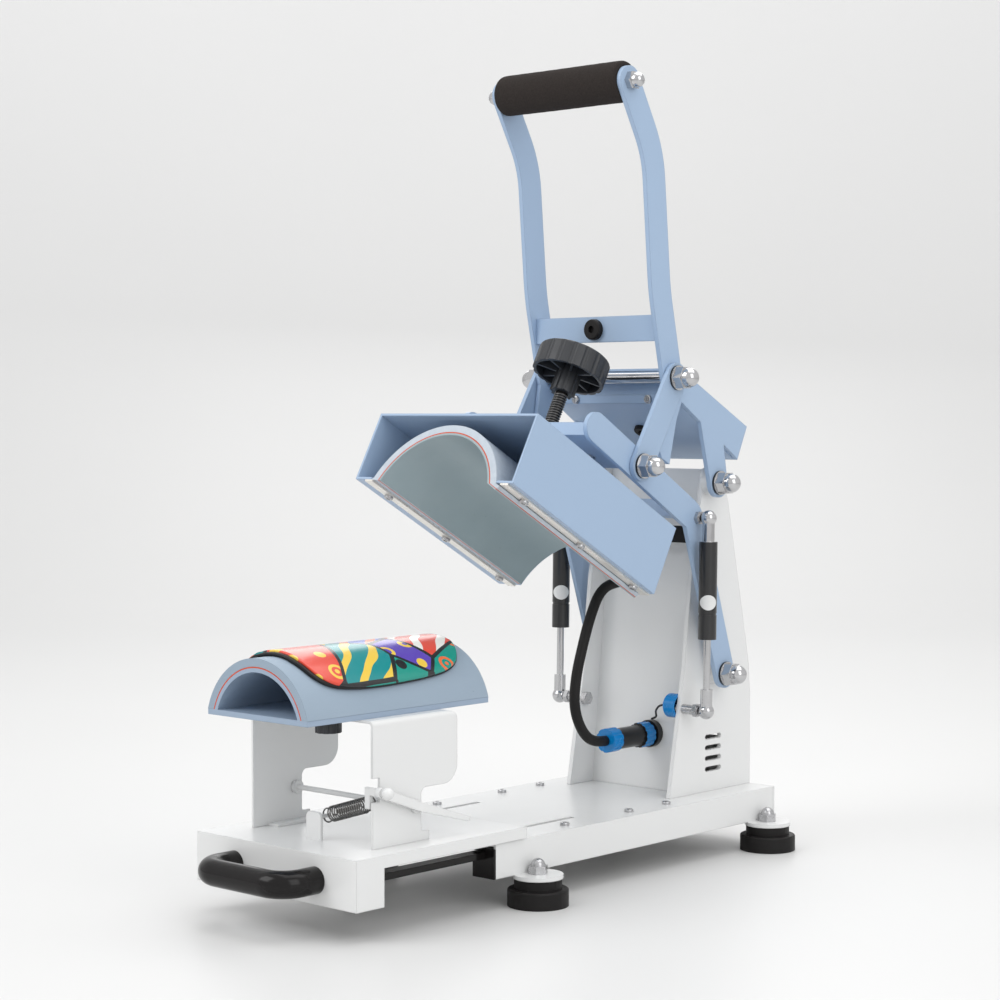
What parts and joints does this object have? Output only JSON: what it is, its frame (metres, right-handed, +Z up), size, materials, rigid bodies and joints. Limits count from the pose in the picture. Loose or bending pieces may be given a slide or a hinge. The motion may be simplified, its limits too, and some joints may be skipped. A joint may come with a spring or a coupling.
{
  "type": "shin guard heat press",
  "caption": "Clamshell heat press for shin guards: arched head on sprung arms with a long lever, and a drawer that carries the lower platen.",
  "frame": {"origin": "centre of the bounding box in plan, on the floor under the feet", "axes": "+Z up, -Y towards the operator, X across, with X = 0 the plane of symmetry of the frame"},
  "size_m": [0.2252, 0.5386, 0.6425],
  "materials": {
    "blue_paint": "light blue powder coat, satin",
    "white_paint": "white powder coat, satin",
    "zinc": "zinc plated steel, a few scratches",
    "chrome": "polished",
    "black_metal": "black gloss paint",
    "black_rubber": "matte black rubber",
    "foam": "open cell black foam",
    "dark_plastic": "dark grey moulded plastic",
    "blue_plastic": "glossy blue plastic",
    "red_seal": "orange red silicone",
    "backing": "light grey blue insulating board",
    "heating_plate": "grey green coating, slightly mottled",
    "bright_strip": "bright strip",
    "pad": "grey blue silicone sponge",
    "platen_metal": "grey blue paint",
    "board": "green circuit board",
    "lens": "tinted display window",
    "panel": "light blue powder coat, satin",
    "red_button": "red push button",
    "grey_button": "grey push button",
    "shell_print": "printed all over in bright colours",
    "guard_foam": "black lined foam with a bound edge",
    "steel_spring": "dark spring steel"
  },
  "bodies": {
    "base": {"base_frame": "white_paint", "rear_cover": "white_paint", "base_screws": "zinc", "rubber_feet_and_stop": "black_rubber", "inlet_module": "dark_plastic", "column": "white_paint", "column_cover": "white_paint", "column_pivots": "chrome", "lower_ball_studs": "zinc", "connector_socket": "dark_plastic", "connector_cap": "blue_plastic", "cable_plug": "blue_plastic", "heater_cable": "black_rubber", "outer_slide_rails": "black_metal"},
    "switch": {"rocker_switch": "red_button"},
    "arm": {"arm_plates": "blue_paint", "arm_cross_plate": "blue_paint", "link_pivots": "chrome", "upper_ball_studs": "zinc"},
    "lever": {"lever_plates": "blue_paint", "grip_rod": "chrome", "foam_grip": "foam", "handle_brace": "blue_paint", "rest_bumper": "black_rubber", "knee_rod": "chrome", "controller_case": "blue_paint", "controller_panel": "panel", "controller_screws": "zinc", "panel_grommet": "black_rubber", "display_lens": "lens", "circuit_board": "board"},
    "set_key": {"set_button": "red_button"},
    "down_key": {"down_button": "grey_button"},
    "up_key": {"up_button": "grey_button"},
    "links": {"link_bars": "blue_paint", "knee_nuts": "chrome"},
    "head": {"platen_box": "blue_paint", "heater_backing": "backing", "platen_seal": "red_seal", "heating_plate": "heating_plate", "clamp_strips": "bright_strip", "strip_screws": "zinc", "guide_pins": "zinc", "cable_gland": "dark_plastic"},
    "knob": {"pressure_knob": "dark_plastic", "pressure_screw": "black_metal"},
    "gas_rods": {"gas_spring_rods": "chrome"},
    "gas_tubes": {"gas_spring_tubes": "black_metal"},
    "drawer": {"drawer_plate": "white_paint", "drawer_handle": "black_metal", "platform_stand": "white_paint", "platform_arch": "platen_metal", "platform_pad": "pad", "platform_seal": "red_seal", "inner_slide_rails": "black_metal", "lever_spring": "steel_spring"},
    "thumb_knob": {"platform_knob": "dark_plastic"},
    "lock": {"lock_lever": "white_paint"},
    "guard": {"guard_shell": "shell_print", "guard_foam": "guard_foam"}
  },
  "joints": [
    {"name": "arm_hinge", "type": "hinge", "parent": "base", "child": "arm", "pos_m": [0, 0.2135, 0.1487], "axis": [1, 0, 0], "range_deg": [0, 28.8], "stiffness_Nm_per_rad": 60, "springref_deg": -20.05, "deforming": ["heater_cable"]},
    {"name": "lever_hinge", "type": "hinge", "parent": "base", "child": "lever", "pos_m": [0, 0.2039, 0.3079], "axis": [1, 0, 0], "range_deg": [-0.5, 63.8]},
    {"name": "link_hinge", "type": "hinge", "parent": "arm", "child": "links", "pos_m": [0, 0.0975, 0.3238], "axis": [1, 0, 0], "range_deg": [-55.54, 0.5]},
    {"name": "gas_rod_hinge", "type": "hinge", "parent": "base", "child": "gas_rods", "pos_m": [0, 0.1724, 0.122], "axis": [1, 0, 0], "range_deg": [-0.5, 25.84]},
    {"name": "gas_tube_slide", "type": "slide", "parent": "gas_rods", "child": "gas_tubes", "axis": [0, 0.0165, 0.9999], "range_m": [-0.02323, 0.0005]},
    {"name": "platen_slide", "type": "slide", "parent": "arm", "child": "head", "axis": [0, 0.4818, 0.8763], "range_m": [0, 0.009], "deforming": ["heater_cable"]},
    {"name": "knob_turn", "type": "hinge", "parent": "head", "child": "knob", "pos_m": [0, 0.04768, 0.31723], "axis": [0, 0.4818, 0.8763], "range_deg": [-5, 2165]},
    {"name": "drawer_slide", "type": "slide", "parent": "base", "child": "drawer", "axis": [0, 1, 0], "range_m": [0, 0.131]},
    {"name": "lock_hinge", "type": "hinge", "parent": "drawer", "child": "lock", "pos_m": [0, -0.1515, 0.0845], "axis": [1, 0, 0], "range_deg": [-6, 0], "stiffness_Nm_per_rad": 1.2, "springref_deg": 5.73, "deforming": ["lever_spring"]},
    {"name": "thumb_turn", "type": "hinge", "parent": "drawer", "child": "thumb_knob", "pos_m": [0, -0.176, 0.14], "axis": [0, 0, 1], "continuous": true},
    {"name": "switch_rock", "type": "hinge", "parent": "base", "child": "switch", "pos_m": [0.032, 0.265, 0.03655], "axis": [0, 0, 1], "range_deg": [0, 16]},
    {"name": "guard_lift", "type": "slide", "parent": "drawer", "child": "guard", "axis": [0, 0, -1], "range_m": [-0.08, 0]},
    {"name": "set_press", "type": "slide", "parent": "lever", "child": "set_key", "axis": [0, -0.4529, -0.8916], "range_m": [0, 0.0012], "stiffness_N_per_m": 400, "springref_m": -0.001},
    {"name": "down_press", "type": "slide", "parent": "lever", "child": "down_key", "axis": [0, -0.4529, -0.8916], "range_m": [0, 0.0012], "stiffness_N_per_m": 400, "springref_m": -0.001},
    {"name": "up_press", "type": "slide", "parent": "lever", "child": "up_key", "axis": [0, -0.4529, -0.8916], "range_m": [0, 0.0012], "stiffness_N_per_m": 400, "springref_m": -0.001}
  ],
  "couplings": [
    {"joint": "lever_hinge", "follows": "arm_hinge", "ratio": 2.1979},
    {"joint": "link_hinge", "follows": "arm_hinge", "ratio": -1.9111},
    {"joint": "gas_rod_hinge", "follows": "arm_hinge", "ratio": 0.87997},
    {"joint": "gas_tube_slide", "follows": "arm_hinge", "m_per_rad": -0.045211},
    {"joint": "knob_turn", "follows": "platen_slide", "rad_per_m": 4188.8}
  ]
}
